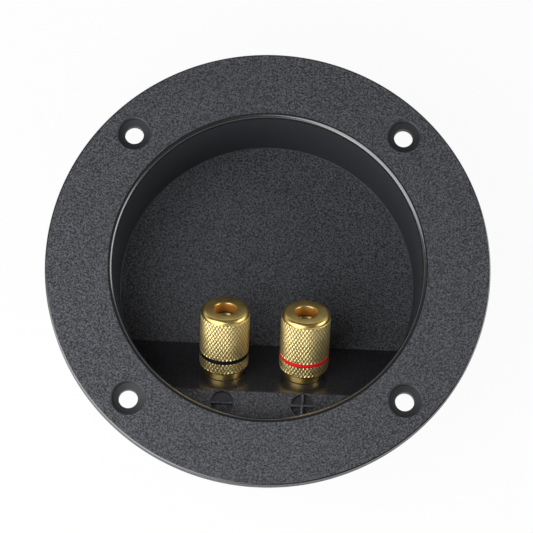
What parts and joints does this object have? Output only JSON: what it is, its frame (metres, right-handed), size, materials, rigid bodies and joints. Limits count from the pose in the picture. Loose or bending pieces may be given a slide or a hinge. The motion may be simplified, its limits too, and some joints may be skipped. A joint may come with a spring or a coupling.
{
  "type": "speaker terminal",
  "caption": "Round recessed speaker terminal: a moulded cup with a screw flange and a sloping ledge that carries gold-plated binding posts for banana plugs or bare wire.",
  "frame": {"origin": "centre of the flange's rear face, which seats on the panel", "axes": "+Z out of the panel towards the user, +Y up the panel away from the ledge, +X towards the positive post"},
  "size_m": [0.105, 0.105, 0.0264],
  "materials": {
    "cup_plastic": "moulded black ABS, fine leather grain on the flat faces, polished on the ledge and lip",
    "gold_plate": "turned and knurled brass with bright gold plating",
    "tinned_brass": "stamped brass sheet, tinned",
    "spring_steel": "zinc-plated spring steel",
    "negative_band": "black moulded ring",
    "positive_band": "red moulded ring"
  },
  "bodies": {
    "terminal": {"cup": "cup_plastic", "negative_stud": "gold_plate", "negative_washer": "gold_plate", "negative_lug": "tinned_brass", "negative_lock_washer": "spring_steel", "negative_nut": "gold_plate", "positive_stud": "gold_plate", "positive_washer": "gold_plate", "positive_lug": "tinned_brass", "positive_lock_washer": "spring_steel", "positive_nut": "gold_plate"},
    "negative_band": {"negative_band": "negative_band"},
    "negative_cap": {"negative_cap": "gold_plate"},
    "positive_band": {"positive_band": "positive_band"},
    "positive_cap": {"positive_cap": "gold_plate"}
  },
  "joints": [
    {"name": "negative_cap_rise", "type": "slide", "parent": "terminal", "child": "negative_band", "axis": [0, 0.682, 0.7314], "range_m": [0, 0.00501]},
    {"name": "negative_cap_turn", "type": "hinge", "parent": "negative_band", "child": "negative_cap", "pos_m": [-0.0095, -0.02078, -0.00896], "axis": [0, 0.682, 0.7314], "range_deg": [0, 1800]},
    {"name": "positive_cap_rise", "type": "slide", "parent": "terminal", "child": "positive_band", "axis": [0, 0.682, 0.7314], "range_m": [0, 0.00501]},
    {"name": "positive_cap_turn", "type": "hinge", "parent": "positive_band", "child": "positive_cap", "pos_m": [0.0095, -0.02078, -0.00896], "axis": [0, 0.682, 0.7314], "range_deg": [0, 1800]}
  ],
  "couplings": [
    {"joint": "negative_cap_rise", "follows": "negative_cap_turn", "m_per_rad": 0.00015915},
    {"joint": "positive_cap_rise", "follows": "positive_cap_turn", "m_per_rad": 0.00015915}
  ]
}
